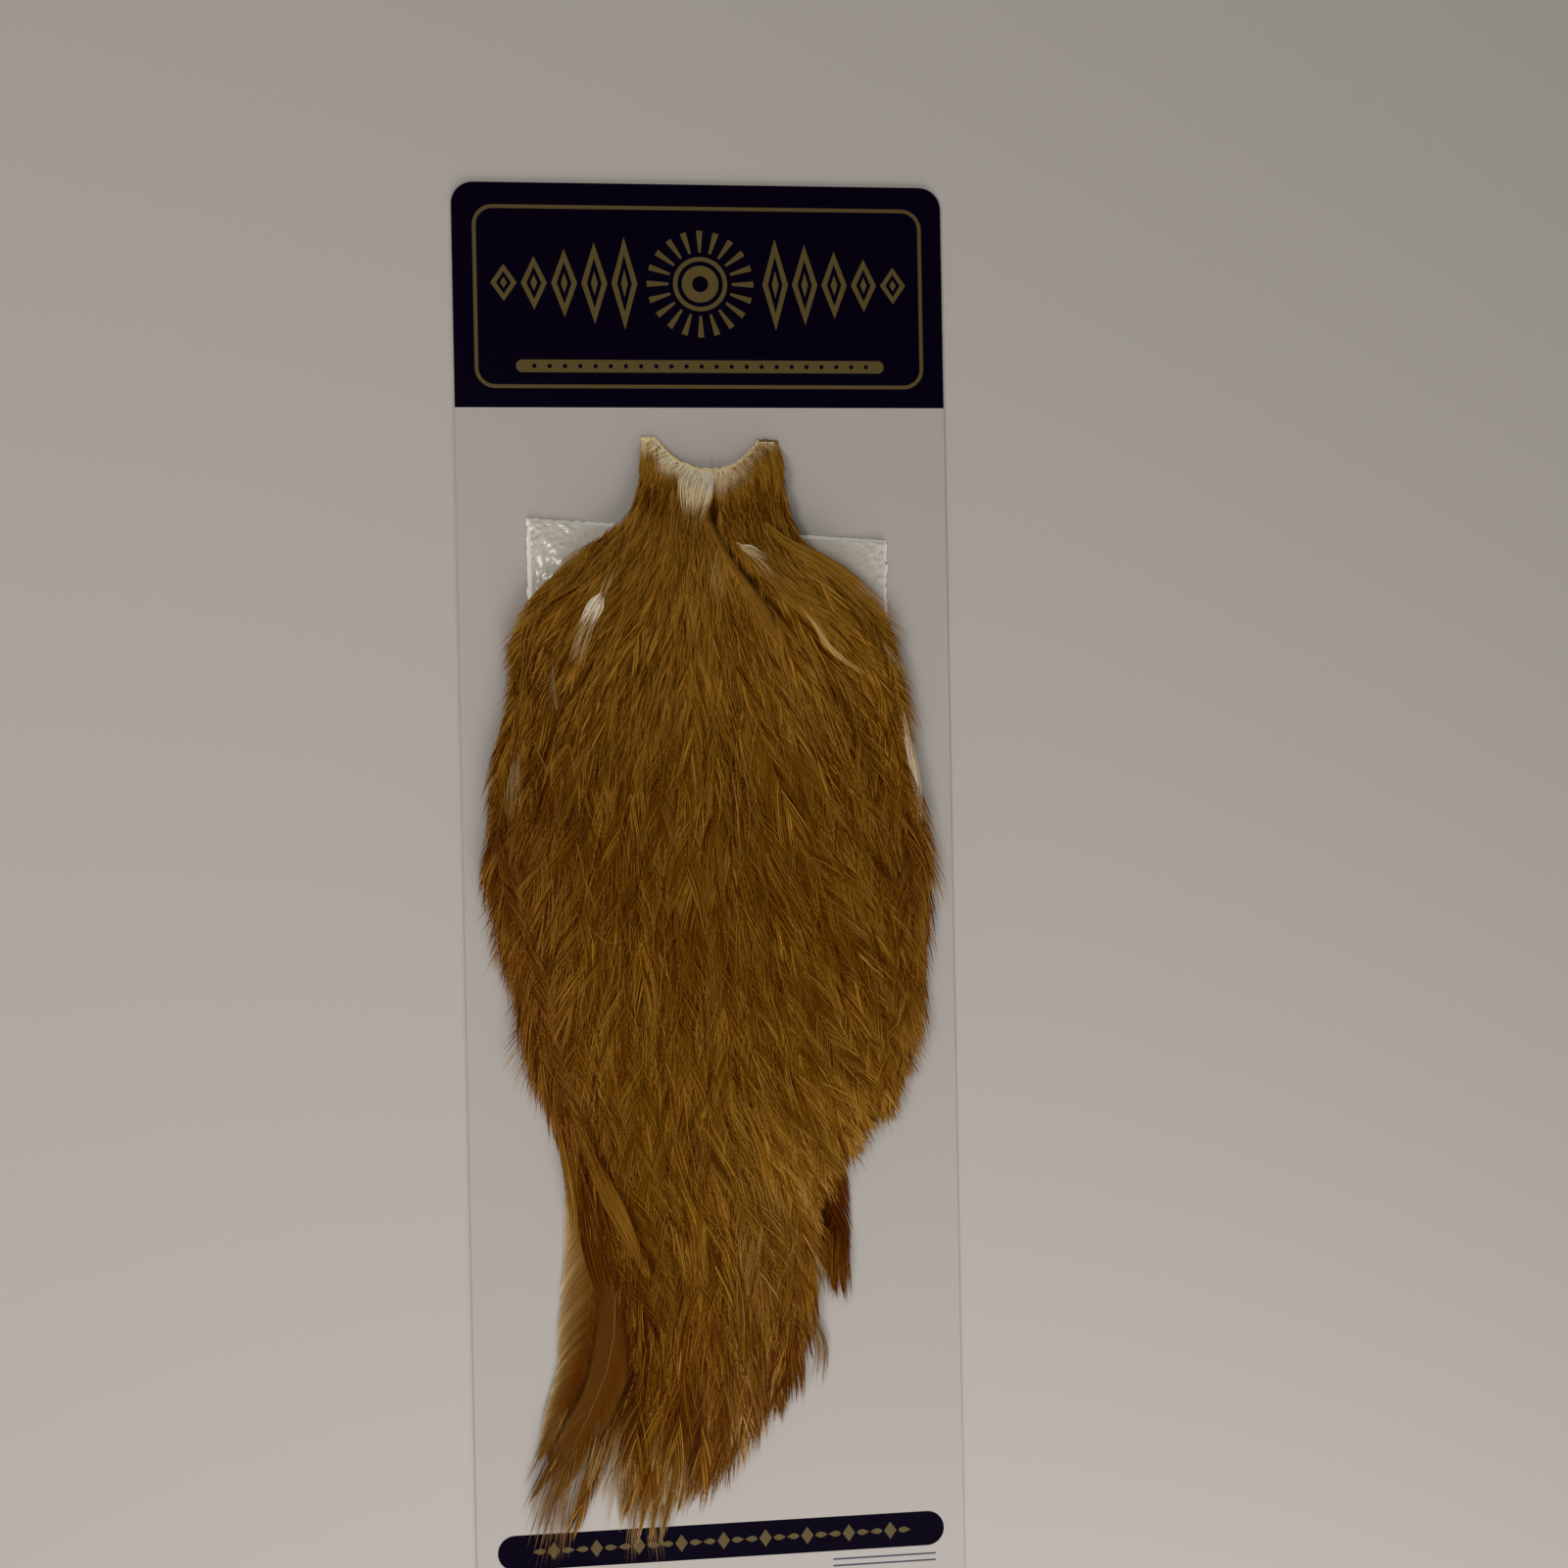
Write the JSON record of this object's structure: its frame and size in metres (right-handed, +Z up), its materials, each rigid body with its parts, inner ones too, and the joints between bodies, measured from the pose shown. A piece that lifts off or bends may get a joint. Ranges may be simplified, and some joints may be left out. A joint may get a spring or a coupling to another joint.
{
  "type": "rooster cape",
  "caption": "Cured rooster neck skin with its ginger hackle feathers, fixed on a tall paperboard card with a folded clear pouch behind it.",
  "frame": {"origin": "under the middle of the card, on the surface that it lies on", "axes": "+Z up out of the card's face, +Y along the card towards the neck end of the cape, +X to the right seen from above"},
  "size_m": [0.133, 0.406, 0.0161],
  "materials": {
    "card": "satin",
    "pouch": "gloss",
    "ginger_feather": "satin",
    "russet_feather": "satin",
    "pale_feather": "satin",
    "cured_skin": "matte"
  },
  "bodies": {
    "root": {"backing_card": "card", "plastic_pouch": "pouch", "feathered_skin": "ginger_feather", "lower_left_hackle_1": "ginger_feather", "lower_left_hackle_2": "ginger_feather", "lower_left_hackle_3": "ginger_feather", "russet_hackle": "russet_feather", "slipped_hackle": "pale_feather"}
  },
  "joints": []
}
